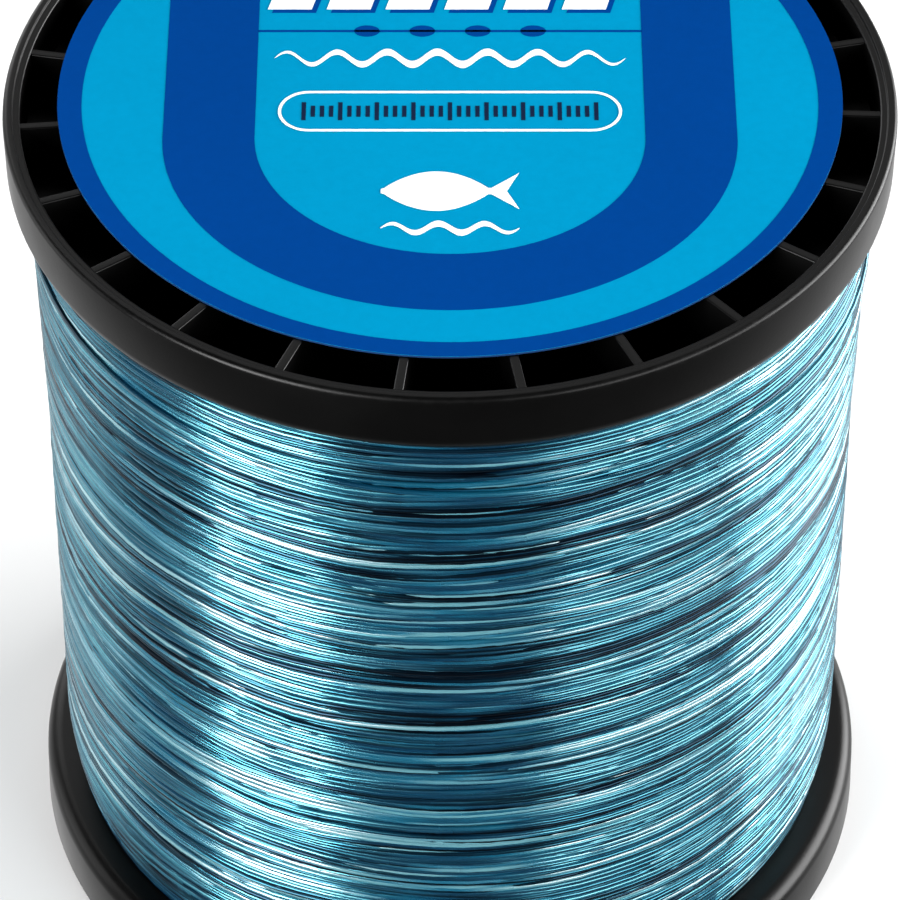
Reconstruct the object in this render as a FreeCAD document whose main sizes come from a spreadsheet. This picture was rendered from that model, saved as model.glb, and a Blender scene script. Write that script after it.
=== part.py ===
"""Bulk fishing line spool: two ribbed flanges on a barrel and an arbor tube, with labels and a wound pack of line.

The spool stands on its lower flange. The origin is the centre of the circle it rests on, and +Z is its axis.
"""

import FreeCAD, Part
import math
import os

import Sketcher
from FreeCAD import Placement, Rotation, Vector

# Driving dimensions, in millimetres and degrees. A flange's heights are depths below its own outer face.
DIMENSIONS = {
    "overall_height": 107.4,
    "flange_radius": 50.0,
    "flange_height": 8.0,
    "flange_taper": 0.15,
    "plate_thickness": 1.8,
    "rim_width": 1.95,
    "rim_bead_width": 1.1,
    "rim_ledge_depth": 0.35,
    "rim_edge_round": 0.6,
    "rim_small_round": 0.15,
    "shoulder_round": 2.0,
    "rib_count": 23,
    "rib_top_depth": 0.6,
    "rib_top_width": 1.1,
    "rib_root_width": 1.5,
    "rib_chamfer": 0.12,
    "rib_overlap": 0.4,
    "upper_rib_angle": -80.9,
    "lower_rib_angle": 90.0,
    "web_count": 6,
    "support_ring_inner": 28.0,
    "support_ring_outer": 29.4,
    "boss_radius": 12.0,
    "boss_top_depth": 0.9,
    "arbor_bore_radius": 8.0,
    "arbor_tube_radius": 10.0,
    "arbor_tube_chamfer": 0.5,
    "tube_clearance": 0.05,
    "socket_radius": 12.4,
    "socket_depth": 8.0,
    "barrel_radius": 27.0,
    "barrel_wall": 2.0,
    "spigot_wall": 2.0,
    "spigot_depth": 6.0,
    "spigot_clearance": 0.1,
    "winding_radius": 47.1,
    "winding_top_radius": 47.8,
    "winding_top_slope": 34.0,
    "winding_foot_radius": 45.9,
    "winding_foot_slope": 9.0,
    "winding_inner_gap": 0.3,
    "winding_end_gap": 0.05,
    "label_radius": 43.95,
    "label_thickness": 0.25,
    "label_offset": 1.2,
    "label_hole_radius": 9.0,
    "tape_thickness": 0.12,
    "tape_gap": 0.05,
    "tape_width": 12.0,
    "end_tape_half_angle": 14.0,
    "end_tape_angle": 62.0,
    "end_tape_height": 86.0,
    "start_tape_half_angle": 24.0,
    "start_tape_angle": 230.0,
    "start_tape_height": 16.0,
}

SHEET = "Dimensions"

doc = FreeCAD.newDocument("LineSpool")


class Size:
    """A length, count or angle together with the expression that binds it to the sheet."""

    def __init__(self, value, text):
        self.value = value
        self.text = text

    def __add__(self, other):
        return Size(self.value + other.value, f"({self.text} + {other.text})")

    def __sub__(self, other):
        return Size(self.value - other.value, f"({self.text} - {other.text})")

    def __neg__(self):
        return Size(-self.value, f"(-1 * {self.text})")

    def __mul__(self, other):
        return Size(self.value * other.value, f"({self.text} * {other.text})")

    def __truediv__(self, other):
        return Size(self.value / other.value, f"({self.text} / {other.text})")


class Sizes:
    """The driving dimensions, each as a Size under its own alias."""


def make_sizes():
    """Puts every driving dimension in the spreadsheet and returns them all as Sizes."""
    sheet = doc.addObject("Spreadsheet::Sheet", SHEET)
    for row, (alias, value) in enumerate(DIMENSIONS.items(), start=1):
        sheet.set(f"A{row}", alias)
        sheet.set(f"B{row}", str(value))
        sheet.setAlias(f"B{row}", alias)
    doc.recompute()
    sizes = Sizes()
    for alias in DIMENSIONS:
        setattr(sizes, alias, Size(float(sheet.get(alias)), f"{SHEET}.{alias}"))
    return sizes


S = make_sizes()
ZERO = Size(0.0, "0")
TWO = Size(2.0, "2")

# The levels of a flange below its outer face.
FLOOR = S.plate_thickness - S.flange_height
INNER_FACE = -S.flange_height
RIB_TOP = -S.rib_top_depth

# The radii that two pieces share.
BARREL_INSIDE = S.barrel_radius - S.barrel_wall
RIM_INSIDE = S.flange_radius - S.rim_width
FLANGE_BORE = S.arbor_tube_radius + S.tube_clearance


def new_body(label):
    """An empty body whose Label is the sub-part's name."""
    body = doc.addObject("PartDesign::Body", label)
    body.Label = label
    return body


def origin_feature(body, role):
    """One of the body's own origin planes or axes."""
    return next(feature for feature in body.Origin.OriginFeatures if feature.Role == role)


def new_sketch(body, name, plane):
    """An empty sketch on one of the body's origin planes."""
    sketch = body.newObject("Sketcher::SketchObject", name)
    sketch.AttachmentSupport = [(origin_feature(body, plane), "")]
    sketch.MapMode = "FlatFace"
    return sketch


def bind(sketch, constraint, size):
    """Adds a dimensional constraint and binds its value to the size's expression."""
    number = sketch.addConstraint(constraint)
    sketch.setExpression(f"Constraints[{number}]", size.text)


def hold_point(sketch, line, across, up):
    """Holds a line's start point at its distances from the sketch's axes."""
    if across.value == 0:
        sketch.addConstraint(Sketcher.Constraint("PointOnObject", line, 1, -2))
    else:
        bind(sketch, Sketcher.Constraint("DistanceX", -1, 1, line, 1, across.value), across)
    if up.value == 0:
        sketch.addConstraint(Sketcher.Constraint("PointOnObject", line, 1, -1))
    else:
        bind(sketch, Sketcher.Constraint("DistanceY", -1, 1, line, 1, up.value), up)


def draw_outline(sketch, corners):
    """A closed run of straight lines through the corners, each corner held by two sizes."""
    count = len(corners)
    for index, (across, up) in enumerate(corners):
        next_across, next_up = corners[(index + 1) % count]
        start = Vector(across.value, up.value, 0)
        end = Vector(next_across.value, next_up.value, 0)
        sketch.addGeometry(Part.LineSegment(start, end), False)
    for index in range(count):
        sketch.addConstraint(Sketcher.Constraint("Coincident", index, 2, (index + 1) % count, 1))
    for index, (across, up) in enumerate(corners):
        hold_point(sketch, index, across, up)


def draw_circle(sketch, radius):
    """A circle about the sketch's origin."""
    number = sketch.addGeometry(Part.Circle(Vector(0, 0, 0), Vector(0, 0, 1), radius.value), False)
    sketch.addConstraint(Sketcher.Constraint("Coincident", number, 3, -1, 1))
    bind(sketch, Sketcher.Constraint("Radius", number, radius.value), radius)


def revolve(body, sketch):
    """Turns the sketch all the way round its vertical axis."""
    feature = body.newObject("PartDesign::Revolution", "Turned")
    feature.Profile = sketch
    feature.ReferenceAxis = (sketch, ["V_Axis"])
    feature.Angle = 360
    doc.recompute()
    return feature


def turned(body, corners):
    """A ring whose section in the XZ plane is the outline through the corners."""
    sketch = new_sketch(body, "Section", "XZ_Plane")
    draw_outline(sketch, corners)
    return revolve(body, sketch)


def pad(body, sketch, length):
    """Pads the sketch along its normal."""
    feature = body.newObject("PartDesign::Pad", "Pad")
    feature.Profile = sketch
    feature.Length = length.value
    feature.setExpression("Length", length.text)
    doc.recompute()
    return feature


def polar(body, feature, count):
    """Repeats a feature evenly about the body's Z axis."""
    pattern = body.newObject("PartDesign::PolarPattern", "Repeated")
    pattern.Originals = [feature]
    pattern.Axis = (origin_feature(body, "Z_Axis"), [""])
    pattern.Angle = 360
    pattern.Occurrences = int(count.value)
    pattern.setExpression("Occurrences", count.text)
    body.Tip = pattern
    doc.recompute()
    return pattern


def circle_edges(shape, circles):
    """The names of the shape's circular edges at the given radii and heights."""
    names = []
    for number, edge in enumerate(shape.Edges, start=1):
        if not isinstance(edge.Curve, Part.Circle):
            continue
        for radius, height in circles:
            near_radius = math.isclose(edge.Curve.Radius, radius.value, abs_tol=1e-4)
            near_height = math.isclose(edge.Curve.Center.z, height.value, abs_tol=1e-4)
            if near_radius and near_height:
                names.append(f"Edge{number}")
    return names


def round_edges(body, base, circles, radius):
    """Rounds the circular edges of the base feature at the given radii and heights."""
    names = circle_edges(base.Shape, circles)
    if len(names) != len(circles):
        raise ValueError(f"{body.Label}: found {names} for {len(circles)} edges")
    feature = body.newObject("PartDesign::Fillet", "Rounded")
    feature.Base = (base, names)
    feature.Radius = radius.value
    feature.setExpression("Radius", radius.text)
    doc.recompute()
    return feature


def place(body, height, rotation=Rotation(), across=ZERO):
    """Lifts the body to its height on the spool's axis, moved along Y by the size across."""
    body.Placement = Placement(Vector(0, across.value, height.value), rotation)
    body.setExpression("Placement.Base.y", across.text)
    body.setExpression("Placement.Base.z", height.text)


def about_z(angle):
    """A turn about the spool's axis."""
    return Rotation(Vector(0, 0, 1), angle.value)


UPSIDE_DOWN = Rotation(Vector(1, 0, 0), 180)


def flange_ring(body):
    """The flange's turned shape: rim, plate, support ring, boss, spigot and arbor socket."""
    spigot_outside = BARREL_INSIDE - S.spigot_clearance
    spigot_inside = spigot_outside - S.spigot_wall
    spigot_end = INNER_FACE - S.spigot_depth
    socket_end = INNER_FACE - S.socket_depth
    shoulder = S.flange_radius - S.flange_taper
    bead_inside = S.flange_radius - S.rim_bead_width
    ledge = -S.rim_ledge_depth
    boss_top = -S.boss_top_depth
    ring = turned(body, [
        (FLANGE_BORE, socket_end),
        (S.socket_radius, socket_end),
        (S.socket_radius, INNER_FACE),
        (spigot_inside, INNER_FACE),
        (spigot_inside, spigot_end),
        (spigot_outside, spigot_end),
        (spigot_outside, INNER_FACE),
        (shoulder, INNER_FACE),
        (S.flange_radius, ZERO),
        (bead_inside, ZERO),
        (bead_inside, ledge),
        (RIM_INSIDE, ledge),
        (RIM_INSIDE, FLOOR),
        (S.support_ring_outer, FLOOR),
        (S.support_ring_outer, RIB_TOP),
        (S.support_ring_inner, RIB_TOP),
        (S.support_ring_inner, FLOOR),
        (S.boss_radius, FLOOR),
        (S.boss_radius, boss_top),
        (FLANGE_BORE, boss_top),
    ])
    ring = round_edges(body, ring, [(shoulder, INNER_FACE)], S.shoulder_round)
    ring = round_edges(body, ring, [(S.flange_radius, ZERO)], S.rim_edge_round)
    return round_edges(body, ring, [(bead_inside, ZERO), (RIM_INSIDE, ledge)], S.rim_small_round)


def radial_ribs(body, name, start, end, count):
    """Ribs from one radius to another, standing on the plate with drafted sides and chamfered tops."""
    root = S.rib_root_width / TWO
    top = S.rib_top_width / TWO
    foot = FLOOR - S.plate_thickness / TWO
    sketch = new_sketch(body, name, "YZ_Plane")
    draw_outline(sketch, [
        (-root, foot),
        (root, foot),
        (root, FLOOR),
        (top, RIB_TOP - S.rib_chamfer),
        (top - S.rib_chamfer, RIB_TOP),
        (S.rib_chamfer - top, RIB_TOP),
        (-top, RIB_TOP - S.rib_chamfer),
        (-root, FLOOR),
    ])
    sketch.AttachmentOffset = Placement(Vector(0, 0, start.value), Rotation())
    sketch.setExpression("AttachmentOffset.Base.z", start.text)
    return polar(body, pad(body, sketch, end - start), count)


def make_flange(label, height, rotation):
    """One moulded flange; the lower one is the same moulding turned over."""
    body = new_body(label)
    flange_ring(body)
    inner_overlap = S.support_ring_outer - S.rib_overlap
    radial_ribs(body, "RibSection", inner_overlap, RIM_INSIDE + S.rib_overlap, S.rib_count)
    web_end = S.support_ring_inner + S.rib_overlap
    radial_ribs(body, "WebSection", S.boss_radius - S.rib_overlap, web_end, S.web_count)
    place(body, height, rotation)
    return body


def make_barrel():
    """The tube that the line is wound on, held between the flanges by their spigots."""
    body = new_body("barrel")
    top = S.overall_height - S.flange_height
    turned(body, [
        (BARREL_INSIDE, S.flange_height),
        (S.barrel_radius, S.flange_height),
        (S.barrel_radius, top),
        (BARREL_INSIDE, top),
    ])
    return body


def make_arbor_tube():
    """The central tube that a spindle goes through, with chamfered mouths."""
    body = new_body("arbor_tube")
    bottom = S.boss_top_depth
    top = S.overall_height - S.boss_top_depth
    mouth = S.arbor_bore_radius + S.arbor_tube_chamfer
    turned(body, [
        (mouth, bottom),
        (S.arbor_tube_radius, bottom),
        (S.arbor_tube_radius, top),
        (mouth, top),
        (S.arbor_bore_radius, top - S.arbor_tube_chamfer),
        (S.arbor_bore_radius, bottom + S.arbor_tube_chamfer),
    ])
    return body


def make_winding():
    """The pack of line: a sleeve on the barrel that flares towards its top and narrows at its foot."""
    body = new_body("line_winding")
    inside = S.barrel_radius + S.winding_inner_gap
    bottom = S.flange_height + S.winding_end_gap
    top = S.overall_height - bottom
    turned(body, [
        (inside, bottom),
        (S.winding_foot_radius, bottom),
        (S.winding_radius, bottom + S.winding_foot_slope),
        (S.winding_radius, top - S.winding_top_slope),
        (S.winding_top_radius, top),
        (inside, top),
    ])
    return body


def make_label(label, height, rotation, hole=None):
    """A round printed label; the lower one has a hole for the spindle."""
    body = new_body(label)
    sketch = new_sketch(body, "Outline", "XY_Plane")
    draw_circle(sketch, S.label_radius)
    if hole is not None:
        draw_circle(sketch, hole)
    pad(body, sketch, S.label_thickness)
    place(body, height, rotation, ZERO if hole is not None else S.label_offset)
    return body


def make_tape(label, inside, half_angle, angle, height):
    """A strip of tape bent round the spool's axis, centred on the given angle and height."""
    body = new_body(label)
    outside = inside + S.tape_thickness
    half = math.radians(half_angle.value)
    sketch = new_sketch(body, "Outline", "XY_Plane")
    for radius in (inside, outside):
        circle = Part.Circle(Vector(0, 0, 0), Vector(0, 0, 1), radius.value)
        arc = sketch.addGeometry(Part.ArcOfCircle(circle, -half, half), False)
        sketch.addConstraint(Sketcher.Constraint("Coincident", arc, 3, -1, 1))
        bind(sketch, Sketcher.Constraint("Radius", arc, radius.value), radius)
    for end, turn in ((1, -half), (2, half)):
        direction = Vector(math.cos(turn), math.sin(turn), 0)
        line = sketch.addGeometry(Part.LineSegment(direction * inside.value, direction * outside.value), False)
        sketch.addConstraint(Sketcher.Constraint("Coincident", line, 1, 0, end))
        sketch.addConstraint(Sketcher.Constraint("Coincident", line, 2, 1, end))
        sketch.addConstraint(Sketcher.Constraint("PointOnObject", -1, 1, line))
        sloped = half_angle if turn > 0 else -half_angle
        number = sketch.addConstraint(Sketcher.Constraint("Angle", line, turn))
        sketch.setExpression(f"Constraints[{number}]", f"{sloped.text} * 1 deg")
    pad(body, sketch, S.tape_width)
    place(body, height - S.tape_width / TWO, about_z(angle))
    return body


def build():
    """Every sub-part of the spool."""
    label_height = S.overall_height - S.rib_top_depth
    return [
        make_flange("upper_flange", S.overall_height, about_z(S.upper_rib_angle)),
        make_flange("lower_flange", ZERO, UPSIDE_DOWN * about_z(S.lower_rib_angle)),
        make_barrel(),
        make_arbor_tube(),
        make_winding(),
        make_label("upper_label", label_height, Rotation()),
        make_label("lower_label", S.rib_top_depth, UPSIDE_DOWN, S.label_hole_radius),
        make_tape("line_end_tape", S.winding_top_radius + S.tape_gap,
                  S.end_tape_half_angle, S.end_tape_angle, S.end_tape_height),
        make_tape("line_start_tape", S.barrel_radius + S.tape_gap,
                  S.start_tape_half_angle, S.start_tape_angle, S.start_tape_height),
    ]


def check(parts):
    """Stops if any object failed, or if a sub-part is empty, broken or not one solid."""
    for item in doc.Objects:
        if "Invalid" in item.State or "Error" in item.State:
            raise RuntimeError(f"{item.Label}: {item.State}")
    for part in parts:
        shape = part.Shape
        if shape.isNull() or not shape.isValid() or len(shape.Solids) != 1:
            raise RuntimeError(f"{part.Label}: not one valid solid")
        box = shape.BoundBox
        print(f"{part.Label:16s} {shape.Volume:10.1f} mm3   z {box.ZMin:7.2f} to {box.ZMax:7.2f}")


parts = build()
doc.recompute()
check(parts)
os.makedirs("parts", exist_ok=True)
for part in parts:
    part.Shape.exportStep(f"parts/{part.Label}.step")
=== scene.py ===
"""Looks for the bulk spool of fishing line: moulded flanges, printed labels and the wound pack of line.

Everything is in metres, with the spool standing on z = 0 and its axis on +Z. The front faces -Y.
"""

import math

import bmesh
import bpy
from mathutils import Matrix, Vector


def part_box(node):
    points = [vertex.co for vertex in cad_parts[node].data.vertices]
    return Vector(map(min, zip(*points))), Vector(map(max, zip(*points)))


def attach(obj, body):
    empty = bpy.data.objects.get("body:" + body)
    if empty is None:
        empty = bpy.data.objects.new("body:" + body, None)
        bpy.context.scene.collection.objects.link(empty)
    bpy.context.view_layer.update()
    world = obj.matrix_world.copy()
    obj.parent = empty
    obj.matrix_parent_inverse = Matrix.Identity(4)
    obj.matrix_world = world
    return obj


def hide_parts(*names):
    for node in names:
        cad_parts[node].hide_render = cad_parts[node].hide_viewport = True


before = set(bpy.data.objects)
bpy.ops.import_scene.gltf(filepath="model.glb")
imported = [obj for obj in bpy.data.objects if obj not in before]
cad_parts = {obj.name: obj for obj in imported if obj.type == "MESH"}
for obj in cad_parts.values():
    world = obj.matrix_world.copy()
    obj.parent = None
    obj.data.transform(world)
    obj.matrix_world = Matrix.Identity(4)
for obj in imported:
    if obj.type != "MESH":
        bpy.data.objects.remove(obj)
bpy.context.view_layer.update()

MM = 0.001
TURN = 2 * math.pi

# The spool's main sizes, from the frame.
FLANGE_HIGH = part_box("upper_flange")[1]
PACK_LOW, PACK_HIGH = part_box("line_winding")
LABEL_LOW, LABEL_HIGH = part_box("upper_label")
BASE_LABEL_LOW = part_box("lower_label")[0]
BARREL_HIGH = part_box("barrel")[1]
SPOOL_TOP = FLANGE_HIGH.z
FLANGE_RADIUS = 50 * MM
FLANGE_HEIGHT = SPOOL_TOP - BARREL_HIGH.z
PACK_RADIUS = 47.1 * MM
PACK_TOP_FLARE = 0.7 * MM
PACK_TOP_SLOPE = 34 * MM
PACK_FOOT_DROP = 1.2 * MM
PACK_FOOT_SLOPE = 9 * MM
LABEL_RADIUS = (LABEL_HIGH.x - LABEL_LOW.x) / 2
LABEL_CENTRE_Y = (LABEL_LOW.y + LABEL_HIGH.y) / 2
LABEL_TOP = LABEL_HIGH.z
LINE_DIAMETER = 0.65 * MM
LINE_SIDES = 8
POINTS_PER_TURN = 88
CORE_RADIUS = PACK_RADIUS - 1.4 * MM
CORE_INSIDE = 27.3 * MM
CORE_STEPS = 96
BORDER_INSIDE = 41.2 * MM
BORDER_CENTRE_Y = LABEL_CENTRE_Y - 0.5 * MM
INK = 0.03 * MM

# The flange moulding. Depths are measured from its outer face towards the line.
PLATE_FLOOR = FLANGE_HEIGHT - 1.8 * MM
RIM_INSIDE = FLANGE_RADIUS - 1.95 * MM
RIM_BEAD_INSIDE = FLANGE_RADIUS - 1.1 * MM
RIM_LEDGE = 0.35 * MM
SHOULDER_RADIUS = FLANGE_RADIUS - 0.15 * MM
SHOULDER_ROUND = 2.0 * MM
RIB_TOP = 0.6 * MM
RIB_COUNT = 23
WEB_COUNT = 6
RIB_TOP_WIDTH = 1.1 * MM
RIB_ROOT_WIDTH = 1.5 * MM
SUPPORT_INSIDE = 28.0 * MM
SUPPORT_OUTSIDE = 29.4 * MM
BOSS_RADIUS = 12.0 * MM
BOSS_TOP = 0.9 * MM
FLANGE_BORE = 10.05 * MM
SOCKET_RADIUS = 12.4 * MM
SOCKET_DEPTH = 8 * MM
SPIGOT_OUTSIDE = 24.9 * MM
SPIGOT_INSIDE = 22.9 * MM
SPIGOT_DEPTH = 6 * MM
RIM_EDGE_ROUND = 0.55 * MM
RIB_EDGE_ROUND = 0.18 * MM
RIB_OVERLAP = 0.4 * MM
RIB_FOOT = PLATE_FLOOR + 0.6 * MM
UPPER_RIB_ANGLE = math.radians(-80.9)
LOWER_RIB_ANGLE = math.radians(-90.0)
LATHE_STEPS = 288

# The label's drawing. Heights are measured from the spool's axis towards the back.
BAND_FOOT_Y = LABEL_CENTRE_Y - 7.65 * MM
BAND_WIDE, BAND_WIDE_FOOT = 31.9 * MM, 28.9 * MM
BAND_NARROW, BAND_NARROW_FOOT = 21.7 * MM, 19.8 * MM
RULE_LOW_Y, RULE_HIGH_Y = 12.1 * MM, 32.9 * MM
RULE_HALF, RULE_REACH = 0.18 * MM, 21.75 * MM
BEADS, BEAD_GAP = 4, 6.28 * MM
BEAD_HALF_WIDTH, BEAD_HALF_HEIGHT = 1.45 * MM, 1.0 * MM
BARS, BAR_WIDTH, BAR_GAP = 6, 5.0 * MM, 1.7 * MM
BAR_Y, BAR_SHADOW_Y = 16.0 * MM, 15.4 * MM
BAR_HEIGHT, BAR_SLANT = 12.5 * MM, 3.0 * MM
PILL_Y = -2.1 * MM
TICK_REACH, TICK_GAP, TICK_HALF_WIDTH = 16, 1.02 * MM, 0.24 * MM
WAVE_Y, FISH_Y, LOW_WAVE_Y = 7.2 * MM, -15.8 * MM, -22.0 * MM

# name, azimuth and elevation in degrees, distance, width and height, power in watts
LIGHTS = [
    ("key_left", -44, 14, 0.9, (0.46, 0.60), 21.0),
    ("side_left", -106, 13, 0.9, (0.50, 0.60), 2.2),
    ("side_right", 106, 13, 0.9, (1.0, 0.60), 34.0),
    ("fill_right", 47, 15, 1.1, (0.90, 0.55), 13.0),
    ("back_left", -150, 20, 1.0, (0.4, 0.65), 3.0),
    ("back_top", 180, 47, 1.0, (0.9, 0.5), 1.6),
]
FLOOR_REACH = 6.0
SURROUND_STRENGTH = 0.06
BACKDROP_STRENGTH = 1.1
BACKDROP_START, BACKDROP_FULL = -0.35, 0.45

CAMERA_TILT = math.radians(43.26)
CAMERA_DISTANCE = 13.106 * FLANGE_RADIUS
CAMERA_AIM_DEPTH = 54.2 * MM


# ---------------------------------------------------------------- node trees

def add_node(tree, kind, inputs=None, **settings):
    """Adds a node, sets its options, and feeds its inputs with values or with other nodes' sockets."""
    node = tree.nodes.new(kind)
    for option, value in settings.items():
        setattr(node, option, value)
    for key, value in (inputs or {}).items():
        if isinstance(value, bpy.types.NodeSocket):
            tree.links.new(value, node.inputs[key])
        else:
            node.inputs[key].default_value = value
    return node


def calc(tree, operation, *values):
    """A maths node on numbers or sockets, and its result."""
    node = add_node(tree, "ShaderNodeMath", dict(enumerate(values)), operation=operation)
    return node.outputs[0]


def vector_of(tree, across, along, up):
    """Three values joined into one vector."""
    return add_node(tree, "ShaderNodeCombineXYZ", {0: across, 1: along, 2: up}).outputs[0]


def noise_of(tree, scale, detail=2.0, roughness=0.5, vector=None, w=None):
    """A noise value between 0 and 1, on a position, a number, or both."""
    dimensions = "1D" if vector is None else ("3D" if w is None else "4D")
    inputs = {"Scale": scale, "Detail": detail, "Roughness": roughness}
    if vector is not None:
        inputs["Vector"] = vector
    if w is not None:
        inputs["W"] = w
    return add_node(tree, "ShaderNodeTexNoise", inputs, noise_dimensions=dimensions).outputs[0]


def ramp_of(tree, factor, stops):
    """A colour ramp through (position, colour) stops."""
    node = add_node(tree, "ShaderNodeValToRGB", {0: factor})
    ramp = node.color_ramp
    while len(ramp.elements) < len(stops):
        ramp.elements.new(0.5)
    for element, (position, colour) in zip(ramp.elements, stops):
        element.position = position
        element.color = (*colour, 1.0)
    return node.outputs[0]


def span_of(tree, value, low, high, to_low=0.0, to_high=1.0):
    """The value moved from one range to another, and held at its ends."""
    node = add_node(tree, "ShaderNodeMapRange", {0: value, 1: low, 2: high, 3: to_low, 4: to_high})
    return node.outputs[0]


def new_material(name):
    """A material with one Principled shader."""
    material = bpy.data.materials.new(name)
    material.use_nodes = True
    tree = material.node_tree
    shader = tree.nodes["Principled BSDF"]
    return material, tree, shader


def object_point(tree):
    """The shaded point's place on its object."""
    return add_node(tree, "ShaderNodeTexCoord").outputs["Object"]


def set_bump(tree, shader, height, strength, distance):
    """Feeds the shader's normal with a bump made from a height."""
    bump = add_node(tree, "ShaderNodeBump", {"Strength": strength, "Distance": distance, "Height": height})
    tree.links.new(bump.outputs[0], shader.inputs["Normal"])


# ---------------------------------------------------------------- materials

def moulded_black():
    """Black moulded plastic with a faint flow texture, fine grain and lightly rubbed rim edges."""
    material, tree, shader = new_material("moulded_black")
    shader.inputs["Specular IOR Level"].default_value = 0.15
    point = object_point(tree)
    split = add_node(tree, "ShaderNodeSeparateXYZ", {0: point}).outputs
    across = calc(tree, "SQRT", calc(tree, "ADD", calc(tree, "POWER", split[0], 2.0),
                                     calc(tree, "POWER", split[1], 2.0)))
    cloud = noise_of(tree, 60.0, 4.0, 0.6, point)
    grain = noise_of(tree, 2600.0, 3.0, 0.6, point)
    scuff = noise_of(tree, 700.0, 5.0, 0.75, point)
    near_edge = span_of(tree, across, FLANGE_RADIUS - 0.9 * MM, FLANGE_RADIUS - 0.4 * MM)
    low_face = calc(tree, "LESS_THAN", split[2], 0.7 * MM)
    high_face = calc(tree, "GREATER_THAN", split[2], SPOOL_TOP - 0.7 * MM)
    end_face = calc(tree, "MAXIMUM", low_face, high_face)
    rubbed = calc(tree, "MULTIPLY", calc(tree, "MULTIPLY", near_edge, end_face),
                  span_of(tree, scuff, 0.40, 0.80))
    tone = calc(tree, "ADD", calc(tree, "MULTIPLY", cloud, 0.35), calc(tree, "MULTIPLY", rubbed, 0.25))
    colour = ramp_of(tree, tone, [(0.0, (0.0004, 0.0004, 0.0004)), (0.35, (0.0012, 0.0012, 0.0012)),
                                  (1.0, (0.035, 0.035, 0.034))])
    tree.links.new(colour, shader.inputs["Base Color"])
    rough = calc(tree, "ADD", span_of(tree, cloud, 0.2, 0.8, 0.26, 0.40), calc(tree, "MULTIPLY", rubbed, 0.10))
    tree.links.new(rough, shader.inputs["Roughness"])
    set_bump(tree, shader, grain, 0.25, 0.03 * MM)
    return material


def dull_black(name, scale):
    """Matte black plastic for the parts inside the spool."""
    material, tree, shader = new_material(name)
    point = object_point(tree)
    cloud = noise_of(tree, scale, 5.0, 0.6, point)
    colour = ramp_of(tree, cloud, [(0.25, (0.010, 0.010, 0.011)), (0.75, (0.026, 0.026, 0.027))])
    tree.links.new(colour, shader.inputs["Base Color"])
    tree.links.new(span_of(tree, cloud, 0.2, 0.8, 0.45, 0.62), shader.inputs["Roughness"])
    set_bump(tree, shader, noise_of(tree, 1800.0, 2.0, 0.5, point), 0.2, 0.03 * MM)
    return material


def wound_line():
    """Glossy blue monofilament: its colour and glint drift from navy to pale cyan along each turn."""
    material, tree, shader = new_material("wound_line")
    shader.inputs["IOR"].default_value = 1.9
    shader.inputs["Specular IOR Level"].default_value = 1.0
    shader.inputs["Coat Weight"].default_value = 0.10
    shader.inputs["Coat Roughness"].default_value = 0.08
    along = add_node(tree, "ShaderNodeAttribute", attribute_name="along").outputs["Fac"]
    per_turn = noise_of(tree, 1.9, 1.0, 0.5, w=along)
    short = noise_of(tree, 11.0, 2.0, 0.5, w=calc(tree, "ADD", along, 400.0))
    mixed = calc(tree, "ADD", calc(tree, "MULTIPLY", per_turn, 0.66), calc(tree, "MULTIPLY", short, 0.34))
    tone = span_of(tree, mixed, 0.36, 0.64)
    colour = ramp_of(tree, tone, [(0.0, (0.0002, 0.0004, 0.0012)), (0.30, (0.0002, 0.0020, 0.007)),
                                  (0.55, (0.0003, 0.013, 0.034)), (0.80, (0.0008, 0.055, 0.098)),
                                  (1.0, (0.05, 0.15, 0.18))])
    tree.links.new(colour, shader.inputs["Base Color"])
    glint = ramp_of(tree, tone, [(0.0, (0.02, 0.08, 0.14)), (0.35, (0.11, 0.55, 0.74)), (0.7, (0.36, 0.95, 1.0)),
                                 (1.0, (0.97, 1.0, 1.0))])
    tree.links.new(glint, shader.inputs["Specular Tint"])
    gloss = noise_of(tree, 5.0, 2.0, 0.5, w=calc(tree, "ADD", along, 900.0))
    tree.links.new(span_of(tree, gloss, 0.3, 0.7, 0.14, 0.34), shader.inputs["Roughness"])
    return material


def printed(name, colour):
    """Coated label stock with a faint print mottle and very little gloss."""
    material, tree, shader = new_material(name)
    shader.inputs["Specular IOR Level"].default_value = 0.005
    point = object_point(tree)
    mottle = noise_of(tree, 900.0, 3.0, 0.6, point)
    broad = noise_of(tree, 35.0, 2.0, 0.5, point)
    tone = calc(tree, "ADD", calc(tree, "MULTIPLY", mottle, 0.5), calc(tree, "MULTIPLY", broad, 0.5))
    dark = [channel * 0.93 for channel in colour]
    light = [min(channel * 1.05, 1.0) for channel in colour]
    tree.links.new(ramp_of(tree, tone, [(0.3, dark), (0.7, light)]), shader.inputs["Base Color"])
    tree.links.new(span_of(tree, mottle, 0.3, 0.7, 0.31, 0.41), shader.inputs["Roughness"])
    set_bump(tree, shader, mottle, 0.06, 0.02 * MM)
    return material


def clear_tape():
    """Clear film tape with faint scratches along its length."""
    material, tree, shader = new_material("clear_tape")
    shader.inputs["Alpha"].default_value = 0.20
    shader.inputs["Specular IOR Level"].default_value = 0.6
    point = object_point(tree)
    stretch = add_node(tree, "ShaderNodeMapping", {0: point, 3: (60.0, 60.0, 2500.0)}).outputs[0]
    scratch = noise_of(tree, 1.0, 4.0, 0.6, stretch)
    tree.links.new(ramp_of(tree, scratch, [(0.3, (0.24, 0.30, 0.32)), (0.7, (0.36, 0.42, 0.44))]),
                   shader.inputs["Base Color"])
    tree.links.new(span_of(tree, scratch, 0.3, 0.7, 0.10, 0.24), shader.inputs["Roughness"])
    set_bump(tree, shader, scratch, 0.15, 0.02 * MM)
    return material


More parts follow.
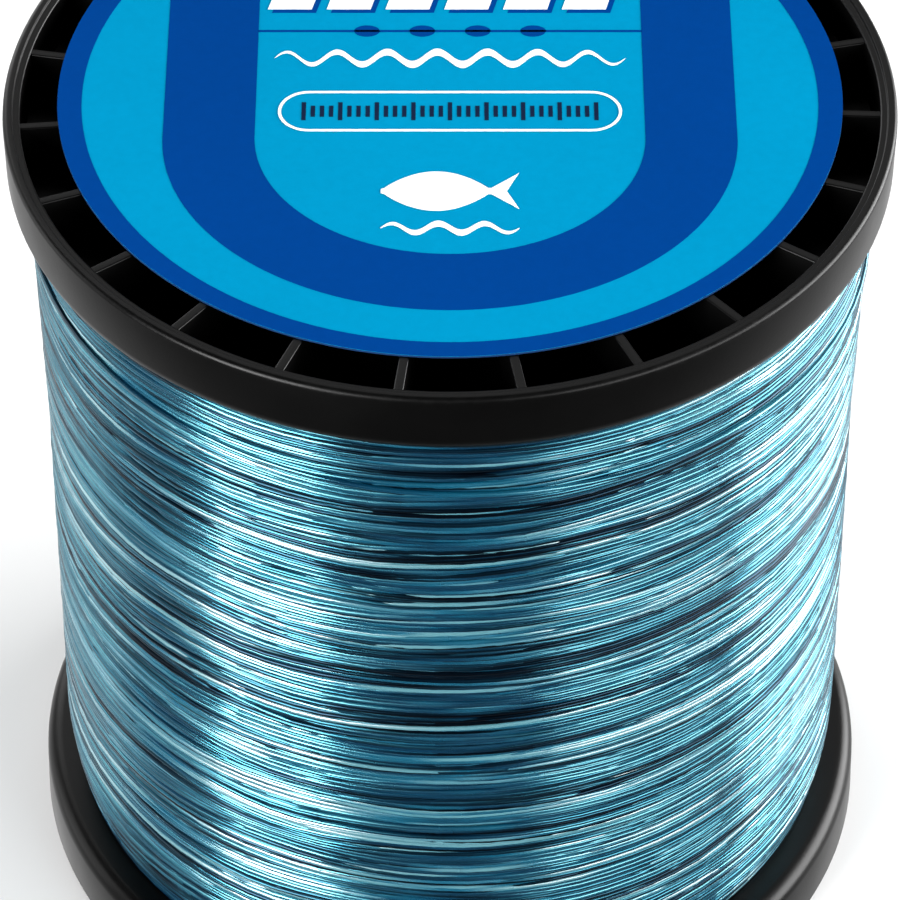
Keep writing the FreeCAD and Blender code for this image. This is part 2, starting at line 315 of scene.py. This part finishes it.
def paper_tape():
    """Kraft paper tape with fine fibres."""
    material, tree, shader = new_material("paper_tape")
    point = object_point(tree)
    fibre = noise_of(tree, 1300.0, 6.0, 0.7, point)
    tree.links.new(ramp_of(tree, fibre, [(0.3, (0.36, 0.26, 0.14)), (0.7, (0.55, 0.42, 0.25))]),
                   shader.inputs["Base Color"])
    tree.links.new(span_of(tree, fibre, 0.2, 0.8, 0.7, 0.9), shader.inputs["Roughness"])
    set_bump(tree, shader, fibre, 0.3, 0.04 * MM)
    return material


def studio_white():
    """The floor's plain pale paper."""
    material, tree, shader = new_material("studio_white")
    grain = noise_of(tree, 4.0, 2.0, 0.5, object_point(tree))
    tree.links.new(ramp_of(tree, grain, [(0.2, (0.64, 0.64, 0.64)), (0.8, (0.67, 0.67, 0.67))]),
                   shader.inputs["Base Color"])
    shader.inputs["Roughness"].default_value = 0.95
    shader.inputs["Specular IOR Level"].default_value = 0.0
    return material


# ---------------------------------------------------------------- mesh building

def object_from(bm, name, material, sharp=None):
    """A scene object from a bmesh, smooth except across edges sharper than the given angle."""
    mesh = bpy.data.meshes.new(name)
    bm.to_mesh(mesh)
    bm.free()
    mesh.materials.append(material)
    if sharp is not None:
        mesh.shade_smooth()
        mesh.set_sharp_from_angle(angle=math.radians(sharp))
    piece = bpy.data.objects.new(name, mesh)
    bpy.context.scene.collection.objects.link(piece)
    return piece


def rounded(corners, steps=6):
    """The closed outline through (across, up, round) corners, each corner turned into an arc of that radius."""
    points = []
    count = len(corners)
    for index, (across, up, radius) in enumerate(corners):
        here = Vector((across, up))
        if radius <= 0:
            points.append(here)
            continue
        before = Vector(corners[index - 1][:2]) - here
        after = Vector(corners[(index + 1) % count][:2]) - here
        before.normalize()
        after.normalize()
        half = before.angle(after) / 2
        start = here + before * (radius / math.tan(half))
        end = here + after * (radius / math.tan(half))
        centre = here + (before + after).normalized() * (radius / math.sin(half))
        first, last = start - centre, end - centre
        swing = first.angle_signed(last)
        for step in range(steps + 1):
            turn = Matrix.Rotation(-swing * step / steps, 2)
            points.append(centre + turn @ first)
    return points


def lathe(bm, outline, steps=LATHE_STEPS):
    """Turns a closed outline of (radius, height) points round the Z axis."""
    rings = []
    for step in range(steps):
        angle = TURN * step / steps
        rings.append([bm.verts.new((p.x * math.cos(angle), p.x * math.sin(angle), p.y)) for p in outline])
    faces = []
    count = len(outline)
    for step, ring in enumerate(rings):
        following = rings[(step + 1) % steps]
        for index in range(count):
            nearby = (index + 1) % count
            faces.append(bm.faces.new((ring[index], ring[nearby], following[nearby], following[index])))
    bmesh.ops.recalc_face_normals(bm, faces=faces)


def prism(bm, section, start, end):
    """A closed bar: the (across, up) section carried along X from start to end."""
    near = [bm.verts.new((start, p.x, p.y)) for p in section]
    far = [bm.verts.new((end, p.x, p.y)) for p in section]
    count = len(section)
    faces = [bm.faces.new(near), bm.faces.new(far)]
    for index in range(count):
        nearby = (index + 1) % count
        faces.append(bm.faces.new((near[index], near[nearby], far[nearby], far[index])))
    bmesh.ops.recalc_face_normals(bm, faces=faces)


def slab(bm, loops, bottom, thickness):
    """A flat sheet with thickness: one outline, or an outline and its hole with as many points."""
    levels = []
    for height in (bottom, bottom + thickness):
        levels.append([[bm.verts.new((x, y, height)) for x, y in loop] for loop in loops])
    faces = []
    for loop_low, loop_high in zip(*levels):
        count = len(loop_low)
        for index in range(count):
            nearby = (index + 1) % count
            faces.append(bm.faces.new((loop_low[index], loop_low[nearby], loop_high[nearby], loop_high[index])))
    for level in levels:
        if len(level) == 1:
            faces.append(bm.faces.new(level[0]))
            continue
        outer, inner = level
        count = len(outer)
        for index in range(count):
            nearby = (index + 1) % count
            faces.append(bm.faces.new((outer[index], outer[nearby], inner[nearby], inner[index])))
    bmesh.ops.recalc_face_normals(bm, faces=faces)


def ellipse(centre_x, centre_y, across, up, start=0.0, sweep=TURN, steps=192):
    """Points on an ellipse or on part of one."""
    closed = sweep >= TURN
    count = steps if closed else steps + 1
    points = []
    for step in range(count):
        angle = start + sweep * step / steps
        points.append((centre_x + across * math.cos(angle), centre_y + up * math.sin(angle)))
    return points


def evaluated(piece, name):
    """The piece with its modifiers turned into a plain mesh."""
    depsgraph = bpy.context.evaluated_depsgraph_get()
    mesh = bpy.data.meshes.new_from_object(piece.evaluated_get(depsgraph))
    mesh.name = name
    piece.modifiers.clear()
    old = piece.data
    piece.data = mesh
    bpy.data.meshes.remove(old)
    return piece


def finish_piece(piece, slot, *nodes):
    """Puts a piece on the spool's one body, in place of its CAD nodes. The slot is not used."""
    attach(piece, "root")
    if nodes:
        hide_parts(*nodes)


# ---------------------------------------------------------------- geometry node trees

def new_tree(name, sockets):
    """An empty geometry tree with its named inputs, and its input and output nodes."""
    tree = bpy.data.node_groups.new(name, "GeometryNodeTree")
    tree.interface.new_socket("Geometry", in_out="INPUT", socket_type="NodeSocketGeometry")
    for label, kind in sockets:
        tree.interface.new_socket(label, in_out="INPUT", socket_type="NodeSocket" + kind)
    tree.interface.new_socket("Geometry", in_out="OUTPUT", socket_type="NodeSocketGeometry")
    given = tree.nodes.new("NodeGroupInput").outputs
    result = tree.nodes.new("NodeGroupOutput")
    return tree, given, result


def end_tree(tree, geometry, given, result):
    """Ends a tree: real geometry, with the material set."""
    real = add_node(tree, "GeometryNodeRealizeInstances", {0: geometry}).outputs[0]
    painted = add_node(tree, "GeometryNodeSetMaterial", {"Geometry": real, "Material": given["Material"]})
    tree.links.new(painted.outputs[0], result.inputs[0])


def use_tree(piece, tree, values):
    """Adds the tree to a piece as a modifier and sets its inputs by their identifiers."""
    modifier = piece.modifiers.new(tree.name, "NODES")
    modifier.node_group = tree
    for item in tree.interface.items_tree:
        if item.in_out == "INPUT" and item.name in values:
            modifier[item.identifier] = values[item.name]


def ring_tree():
    """Repeats the piece's own mesh evenly about the Z axis."""
    tree, given, result = new_tree("spokes", [("Count", "Int"), ("Start Angle", "Float"), ("Material", "Material")])
    points = add_node(tree, "GeometryNodePoints", {"Count": given["Count"]}).outputs[0]
    index = add_node(tree, "GeometryNodeInputIndex").outputs[0]
    step = calc(tree, "DIVIDE", TURN, given["Count"])
    angle = calc(tree, "ADD", calc(tree, "MULTIPLY", index, step), given["Start Angle"])
    turn = vector_of(tree, 0.0, 0.0, angle)
    spokes = add_node(tree, "GeometryNodeInstanceOnPoints",
                      {"Points": points, "Instance": given["Geometry"], "Rotation": turn}).outputs[0]
    end_tree(tree, spokes, given, result)
    return tree


def winding_tree():
    """One lay of line: a single strand wound from one end of the pack to the other, wandering as it goes."""
    tree, given, result = new_tree("line_lay", [
        ("Turns", "Float"), ("Points per Turn", "Int"), ("Start Height", "Float"), ("End Height", "Float"),
        ("Low Limit", "Float"), ("High Limit", "Float"), ("Radius", "Float"), ("Top Flare", "Float"),
        ("Top Slope", "Float"), ("Foot Drop", "Float"), ("Foot Slope", "Float"), ("Line Diameter", "Float"),
        ("Sides", "Int"), ("Wander", "Float"), ("Stray", "Float"), ("Ride Up", "Float"),
        ("Start Angle", "Float"), ("Seed", "Float"), ("Material", "Material")])
    index = add_node(tree, "GeometryNodeInputIndex").outputs[0]
    turns = calc(tree, "DIVIDE", index, given["Points per Turn"])
    share = calc(tree, "DIVIDE", turns, given["Turns"])
    angle = calc(tree, "MULTIPLY_ADD", turns, TURN, given["Start Angle"])
    cosine, sine = calc(tree, "COSINE", angle), calc(tree, "SINE", angle)
    rise = calc(tree, "SUBTRACT", given["End Height"], given["Start Height"])
    level = calc(tree, "MULTIPLY_ADD", rise, share, given["Start Height"])

    shared_place = vector_of(tree, cosine, sine, calc(tree, "MULTIPLY", level, 90.0))
    shared = noise_of(tree, 0.9, 2.0, 0.5, shared_place, given["Seed"])
    own_place = calc(tree, "ADD", turns, calc(tree, "MULTIPLY", given["Seed"], 531.0))
    own = noise_of(tree, 2.3, 2.0, 0.5, w=own_place)
    lift = noise_of(tree, 3.1, 2.0, 0.5, w=calc(tree, "ADD", own_place, 77.0))
    from_end = calc(tree, "MINIMUM", calc(tree, "SUBTRACT", level, given["Low Limit"]),
                    calc(tree, "SUBTRACT", given["High Limit"], level))
    room = span_of(tree, from_end, 0.0, given["Wander"], 0.12, 1.0)
    wander = calc(tree, "MULTIPLY", calc(tree, "SUBTRACT", shared, 0.5), given["Wander"])
    wander = calc(tree, "MULTIPLY", wander, room)
    stray = calc(tree, "MULTIPLY", calc(tree, "SUBTRACT", own, 0.5), given["Stray"])
    height = calc(tree, "ADD", level, calc(tree, "ADD", wander, stray))
    height = calc(tree, "MINIMUM", calc(tree, "MAXIMUM", height, given["Low Limit"]), given["High Limit"])

    flare_start = calc(tree, "SUBTRACT", given["High Limit"], given["Top Slope"])
    flare = span_of(tree, height, flare_start, given["High Limit"])
    foot_end = calc(tree, "ADD", given["Low Limit"], given["Foot Slope"])
    foot = span_of(tree, height, foot_end, given["Low Limit"])
    foot = calc(tree, "MULTIPLY", foot, foot)
    radius = calc(tree, "MULTIPLY_ADD", flare, given["Top Flare"], given["Radius"])
    radius = calc(tree, "SUBTRACT", radius, calc(tree, "MULTIPLY", foot, given["Foot Drop"]))
    radius = calc(tree, "SUBTRACT", radius, calc(tree, "MULTIPLY", lift, given["Ride Up"]))
    place = vector_of(tree, calc(tree, "MULTIPLY", radius, cosine), calc(tree, "MULTIPLY", radius, sine), height)

    count = calc(tree, "MULTIPLY_ADD", given["Turns"], given["Points per Turn"], 1.0)
    path = add_node(tree, "GeometryNodeMeshLine", {"Count": count}).outputs[0]
    path = add_node(tree, "GeometryNodeSetPosition", {"Geometry": path, "Position": place}).outputs[0]
    named = add_node(tree, "GeometryNodeStoreNamedAttribute", data_type="FLOAT", domain="POINT")
    named.inputs["Name"].default_value = "along"
    tree.links.new(path, named.inputs["Geometry"])
    tree.links.new(own_place, named.inputs["Value"])
    curve = add_node(tree, "GeometryNodeMeshToCurve", {0: named.outputs[0]}).outputs[0]
    section = add_node(tree, "GeometryNodeCurvePrimitiveCircle",
                       {"Resolution": given["Sides"],
                        "Radius": calc(tree, "MULTIPLY", given["Line Diameter"], 0.5)}).outputs[0]
    strand = add_node(tree, "GeometryNodeCurveToMesh",
                      {"Curve": curve, "Profile Curve": section, "Fill Caps": True}).outputs[0]
    smooth = add_node(tree, "GeometryNodeSetShadeSmooth", {0: strand}).outputs[0]
    end_tree(tree, smooth, given, result)
    return tree


# ---------------------------------------------------------------- the spool's pieces

def flange_outline():
    """The flange's section as rounded corners of (radius, depth, round), from the bore round the outside."""
    inner_face = FLANGE_HEIGHT
    fine, lip, soft = 0.12 * MM, 0.28 * MM, 0.3 * MM
    spigot_end, socket_end = inner_face + SPIGOT_DEPTH, inner_face + SOCKET_DEPTH
    return rounded([
        (FLANGE_BORE, socket_end, 0), (SOCKET_RADIUS, socket_end, soft), (SOCKET_RADIUS, inner_face, soft),
        (SPIGOT_INSIDE, inner_face, soft), (SPIGOT_INSIDE, spigot_end, soft), (SPIGOT_OUTSIDE, spigot_end, soft),
        (SPIGOT_OUTSIDE, inner_face, 0), (SHOULDER_RADIUS, inner_face, SHOULDER_ROUND),
        (FLANGE_RADIUS, 0, RIM_EDGE_ROUND), (RIM_BEAD_INSIDE, 0, fine), (RIM_BEAD_INSIDE, RIM_LEDGE, fine),
        (RIM_INSIDE, RIM_LEDGE, lip), (RIM_INSIDE, PLATE_FLOOR, soft),
        (SUPPORT_OUTSIDE, PLATE_FLOOR, soft), (SUPPORT_OUTSIDE, RIB_TOP, fine), (SUPPORT_INSIDE, RIB_TOP, fine),
        (SUPPORT_INSIDE, PLATE_FLOOR, soft), (BOSS_RADIUS, PLATE_FLOOR, soft), (BOSS_RADIUS, BOSS_TOP, fine),
        (FLANGE_BORE, BOSS_TOP, fine),
    ])


def rib_object(name, start, end, outer_face, sign, material):
    """One drafted rib standing on the flange's plate, along X."""
    root, top = RIB_ROOT_WIDTH / 2, RIB_TOP_WIDTH / 2
    corners = [(-root, RIB_FOOT, 0), (root, RIB_FOOT, 0),
               (top, RIB_TOP, RIB_EDGE_ROUND), (-top, RIB_TOP, RIB_EDGE_ROUND)]
    section = [Vector((p.x, outer_face + sign * p.y)) for p in rounded(corners, 4)]
    bm = bmesh.new()
    prism(bm, section, start, end)
    return object_from(bm, name, material, 35)


def make_flange(name, outer_face, sign, angle, spokes, material, slot):
    """One flange: the turned moulding with its ribs and webs."""
    groups = [(RIB_COUNT, SUPPORT_OUTSIDE - RIB_OVERLAP, RIM_INSIDE + RIB_OVERLAP),
              (WEB_COUNT, BOSS_RADIUS - RIB_OVERLAP, SUPPORT_INSIDE + RIB_OVERLAP)]
    bm = bmesh.new()
    lathe(bm, [Vector((p.x, outer_face + sign * p.y)) for p in flange_outline()])
    for count, start, end in groups:
        rib = rib_object("rib", start, end, outer_face, sign, material)
        use_tree(rib, spokes, {"Count": count, "Start Angle": angle, "Material": material})
        evaluated(rib, "ribs")
        bm.from_mesh(rib.data)
        bpy.data.objects.remove(rib)
    finish_piece(object_from(bm, name + "_moulding", material, 35), slot, name)


def make_winding(material):
    """The pack of line: lays of wandering turns over a solid core, and the free end down to its tape."""
    tree = winding_tree()
    radius = LINE_DIAMETER / 2
    low, high = PACK_LOW.z + radius, PACK_HIGH.z - radius
    tape_low, tape_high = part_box("line_end_tape")
    tape_middle = (tape_low.z + tape_high.z) / 2
    lays = [
        # name, turns, from, to, depth, wander, stray, ride up, angle, seed
        ("line_lay_outer", 138, low, high, 0.00, 5.5, 1.3, 0.26, 0.4, 1.7),
        ("line_lay_second", 138, high, low, 0.08, 6.5, 1.2, 0.26, 2.1, 5.2),
        ("line_lay_third", 138, low, high, 0.20, 5.0, 1.0, 0.24, 4.4, 9.6),
        ("line_lay_fourth", 138, high, low, 0.50, 3.5, 0.7, 0.24, 5.3, 13.1),
        ("line_free_end", 1.17, high, tape_middle, -0.28, 0.5, 0.3, 0.02, 0.4, 2.9),
    ]
    for name, turns, start, end, depth, wander, stray, ride_up, angle, seed in lays:
        piece = bpy.data.objects.new(name, bpy.data.meshes.new(name))
        bpy.context.scene.collection.objects.link(piece)
        use_tree(piece, tree, {
            "Turns": float(turns), "Points per Turn": POINTS_PER_TURN, "Start Height": start,
            "End Height": end, "Low Limit": low, "High Limit": high,
            "Radius": PACK_RADIUS - radius - depth * MM, "Top Flare": PACK_TOP_FLARE,
            "Top Slope": PACK_TOP_SLOPE, "Foot Drop": PACK_FOOT_DROP, "Foot Slope": PACK_FOOT_SLOPE,
            "Line Diameter": LINE_DIAMETER, "Sides": LINE_SIDES, "Wander": wander * MM, "Stray": stray * MM,
            "Ride Up": ride_up * MM, "Start Angle": angle, "Seed": seed, "Material": material})
        finish_piece(evaluated(piece, name), "blue_line", "line_winding")
    bm = bmesh.new()
    outline = [(CORE_INSIDE, PACK_LOW.z), (CORE_RADIUS - PACK_FOOT_DROP, PACK_LOW.z),
               (CORE_RADIUS, PACK_LOW.z + PACK_FOOT_SLOPE), (CORE_RADIUS, PACK_HIGH.z), (CORE_INSIDE, PACK_HIGH.z)]
    lathe(bm, [Vector(corner) for corner in outline], CORE_STEPS)
    finish_piece(object_from(bm, "line_core", material, 30), "blue_line", "line_winding")


def band_outline(across, foot_height):
    """One edge of the deep band: straight sides that meet the border, and a half-ellipse foot."""
    shoulder = BORDER_CENTRE_Y + math.sqrt(BORDER_INSIDE ** 2 - across ** 2)
    arc = ellipse(0, BAND_FOOT_Y, across, foot_height, math.pi, math.pi, 96)
    return [(-across, shoulder)] + arc + [(across, shoulder)]


def border_arc(from_x, to_x, steps=16):
    """Points along the border's inner edge between two distances across the label."""
    points = []
    for step in range(1, steps):
        x = from_x + (to_x - from_x) * step / steps
        points.append((x, BORDER_CENTRE_Y + math.sqrt(BORDER_INSIDE ** 2 - x ** 2)))
    return points


def deep_band():
    """The U-shaped band, its arms cut off by the border."""
    outside = band_outline(BAND_WIDE, BAND_WIDE_FOOT)
    inside = band_outline(BAND_NARROW, BAND_NARROW_FOOT)
    return outside + border_arc(BAND_WIDE, BAND_NARROW) + inside[::-1] + border_arc(-BAND_NARROW, -BAND_WIDE)


def capsule(centre_x, centre_y, half_length, radius, steps=24):
    """A flat bar with round ends."""
    right = ellipse(centre_x + half_length - radius, centre_y, radius, radius, -math.pi / 2, math.pi, steps)
    left = ellipse(centre_x - half_length + radius, centre_y, radius, radius, math.pi / 2, math.pi, steps)
    return right + left


def wave(centre_y, half_length, swing, thickness, waves, steps=160):
    """A ripple of even thickness with pointed ends."""
    upper, lower = [], []
    for step in range(steps + 1):
        share = step / steps
        x = half_length * (2 * share - 1)
        y = centre_y + swing * math.sin(TURN * waves * share)
        half = thickness / 2 * math.sin(math.pi * share) ** 0.5
        upper.append((x, y + half))
        lower.append((x, y - half))
    return lower + upper[-2:0:-1]


def bar_between(left, low, right, high):
    """An upright rectangle."""
    return [(left, low), (right, low), (right, high), (left, high)]


def slanted_bar(left, low):
    """An upright bar that leans to the right."""
    right, high = left + BAR_WIDTH, low + BAR_HEIGHT
    return [(left, low), (right, low), (right + BAR_SLANT, high), (left + BAR_SLANT, high)]


def fish(centre_x, centre_y, length, height):
    """A plain fish: a lens-shaped body that narrows into a forked tail."""
    upper, lower = [], []
    steps = 40
    for step in range(steps + 1):
        share = step / steps
        x = centre_x + length * (share - 0.5)
        body = math.sin(math.pi * min(share / 0.80, 1.0)) ** 0.8 * height / 2
        tail = max(share - 0.76, 0.0) / 0.24 * height * 0.46
        half = max(body, tail, height * 0.05)
        upper.append((x, centre_y + half))
        lower.append((x, centre_y - half))
    notch = (centre_x + length * 0.41, centre_y)
    return lower + [notch] + upper[::-1]


def print_ink(name, colour, sheets, bottom, slot="label_print"):
    """One ink's shapes as a thin layer; each sheet is an outline, or an outline and its hole."""
    bm = bmesh.new()
    for loops in sheets:
        slab(bm, loops, bottom, INK)
    finish_piece(object_from(bm, name, colour), slot)


def make_upper_label(card, paper_blue, deep_blue, white, black):
    """The upper label: a round card and its inks; the card's dark navy, seen at its edge, is painted shade."""
    bm = bmesh.new()
    sheet_edge = ellipse(0, LABEL_CENTRE_Y, LABEL_RADIUS, LABEL_RADIUS, steps=LATHE_STEPS)
    # Only the card's edge shows past the inks; its dark navy colour there is painted shade along the label's edge.
    slab(bm, [sheet_edge], LABEL_LOW.z, LABEL_TOP - INK - LABEL_LOW.z)
    finish_piece(object_from(bm, "upper_label_card", card), "label_print", "upper_label")
    ink_edge = ellipse(0, LABEL_CENTRE_Y, LABEL_RADIUS - INK, LABEL_RADIUS - INK, steps=LATHE_STEPS)
    print_ink("upper_label_blue_ink", paper_blue, [[ink_edge]], LABEL_TOP - INK)

    border_hole = ellipse(0, BORDER_CENTRE_Y, BORDER_INSIDE, BORDER_INSIDE, steps=LATHE_STEPS)
    deep_shapes = [[ink_edge, border_hole], [deep_band()]]
    for rule_y in (RULE_LOW_Y, RULE_HIGH_Y):
        reach = min(RULE_REACH, math.sqrt(BORDER_INSIDE ** 2 - (rule_y - BORDER_CENTRE_Y) ** 2))
        deep_shapes.append([bar_between(-reach, rule_y - RULE_HALF, reach, rule_y + RULE_HALF)])
    for bead in range(BEADS):
        bead_x = (bead - (BEADS - 1) / 2) * BEAD_GAP
        deep_shapes.append([ellipse(bead_x, RULE_LOW_Y, BEAD_HALF_WIDTH, BEAD_HALF_HEIGHT, steps=32)])
    bar_row = BARS * BAR_WIDTH + (BARS - 1) * BAR_GAP
    white_shapes = []
    for bar in range(BARS):
        left = -bar_row / 2 - BAR_SLANT / 2 + bar * (BAR_WIDTH + BAR_GAP)
        deep_shapes.append([slanted_bar(left + 0.5 * MM, BAR_SHADOW_Y)])
        white_shapes.append([slanted_bar(left, BAR_Y)])
    print_ink("upper_label_deep_ink", deep_blue, deep_shapes, LABEL_TOP)

    white_shapes.append([capsule(0, PILL_Y, 19.2 * MM, 3.5 * MM), capsule(0, PILL_Y, 18.85 * MM, 3.15 * MM)])
    white_shapes.append([wave(WAVE_Y, 19.8 * MM, 1.1 * MM, 1.25 * MM, 7)])
    white_shapes.append([fish(0, FISH_Y, 15.2 * MM, 6.6 * MM)])
    white_shapes.append([wave(LOW_WAVE_Y, 7.6 * MM, 0.75 * MM, 1.0 * MM, 3)])
    print_ink("upper_label_white_ink", white, white_shapes, LABEL_TOP + INK)

    ticks = []
    for tick in range(-TICK_REACH, TICK_REACH + 1):
        half = (1.55 if tick % 4 == 0 else 0.95) * MM
        x = tick * TICK_GAP
        ticks.append([bar_between(x - TICK_HALF_WIDTH, PILL_Y - half, x + TICK_HALF_WIDTH, PILL_Y + half)])
    print_ink("upper_label_black_ink", black, ticks, LABEL_TOP)


def make_lower_label(deep_blue):
    """The print on the lower label: a border and a ring round the spindle hole."""
    rings = []
    for outside, inside in ((LABEL_RADIUS - INK, BORDER_INSIDE), (13.0 * MM, 9.6 * MM)):
        rings.append([ellipse(0, 0, radius, radius, steps=LATHE_STEPS) for radius in (outside, inside)])
    print_ink("lower_label_ink", deep_blue, rings, BASE_LABEL_LOW.z - INK, "label_print_lower")


def light(name, azimuth, elevation, distance, size, power):
    """A soft box aimed at the spool; azimuth 0 is the front and grows towards +X."""
    turn, tilt = math.radians(azimuth), math.radians(elevation)
    aim = Vector((0, 0, SPOOL_TOP / 2))
    away = Vector((math.sin(turn) * math.cos(tilt), -math.cos(turn) * math.cos(tilt), math.sin(tilt)))
    lamp = bpy.data.lights.new(name, "AREA")
    lamp.shape = "RECTANGLE"
    lamp.size, lamp.size_y = size
    lamp.energy = power
    lamp_object = bpy.data.objects.new(name, lamp)
    lamp_object.location = aim + away * distance
    lamp_object.rotation_euler = away.to_track_quat("Z", "Y").to_euler()
    bpy.context.scene.collection.objects.link(lamp_object)


def make_studio(material):
    """A pale floor, soft boxes either side and above, and a dim surround.

    Gloss doesn't mirror the floor. It mirrors the surround below it, which is pale behind the spool and dark in front.
    """
    bm = bmesh.new()
    corners = bar_between(-FLOOR_REACH, -FLOOR_REACH, FLOOR_REACH, FLOOR_REACH)
    bm.faces.new([bm.verts.new((x, y, 0)) for x, y in corners])
    floor = object_from(bm, "floor", material)
    floor.visible_glossy = False
    world = bpy.data.worlds.new("studio")
    world.use_nodes = True
    tree = world.node_tree
    toward = add_node(tree, "ShaderNodeTexCoord").outputs["Generated"]
    split = add_node(tree, "ShaderNodeSeparateXYZ", {0: toward}).outputs
    backdrop = span_of(tree, split[1], BACKDROP_START, BACKDROP_FULL, 0.0, BACKDROP_STRENGTH)
    below = calc(tree, "LESS_THAN", split[2], 0.0)
    strength = calc(tree, "MULTIPLY_ADD", backdrop, below, SURROUND_STRENGTH)
    background = tree.nodes["Background"]
    background.inputs["Color"].default_value = (1.0, 1.0, 1.0, 1.0)
    tree.links.new(strength, background.inputs["Strength"])
    bpy.context.scene.world = world
    for settings in LIGHTS:
        light(*settings)


def make_camera():
    """A long lens looking down at the spool's front."""
    aim = Vector((0, 0, SPOOL_TOP - CAMERA_AIM_DEPTH))
    camera = bpy.data.cameras.new("camera")
    camera.sensor_width = 36.0
    camera.lens = 221.2
    camera.clip_start = 0.05
    camera_object = bpy.data.objects.new("camera", camera)
    away = Vector((0, -math.cos(CAMERA_TILT), math.sin(CAMERA_TILT)))
    camera_object.location = aim + away * CAMERA_DISTANCE
    camera_object.rotation_euler = away.to_track_quat("Z", "Y").to_euler()
    bpy.context.scene.collection.objects.link(camera_object)
    bpy.context.scene.camera = camera_object


bpy.context.scene.view_settings.view_transform = "Standard"
make_camera()
make_studio(studio_white())

black = moulded_black()
line = wound_line()
spokes = ring_tree()
make_flange("upper_flange", SPOOL_TOP, -1, UPPER_RIB_ANGLE, spokes, black, "moulded_black")
make_flange("lower_flange", 0.0, 1, LOWER_RIB_ANGLE, spokes, black, "moulded_black")
make_winding(line)
paper_blue = printed("paper_blue", (0.0, 0.218, 0.405))
deep_blue = printed("deep_blue", (0.0, 0.039, 0.203))
white_ink = printed("white_ink", (0.80, 0.82, 0.84))
# The card's dark navy is painted shade: it darkens the label's bare edge.
label_card_painted_shade = printed("label_card_painted_shade", (0.01, 0.035, 0.11))
black_ink = printed("black_ink", (0.006, 0.014, 0.04))
make_upper_label(label_card_painted_shade, paper_blue, deep_blue, white_ink, black_ink)
make_lower_label(deep_blue)

NODE_MATERIALS = {
    "barrel": dull_black("barrel_black", 90.0),
    "arbor_tube": dull_black("tube_black", 140.0),
    "lower_label": paper_blue,
    "line_end_tape": clear_tape(),
    "line_start_tape": paper_tape(),
}
for node_name, material in NODE_MATERIALS.items():
    for material_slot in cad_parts[node_name].material_slots:
        material_slot.material = material
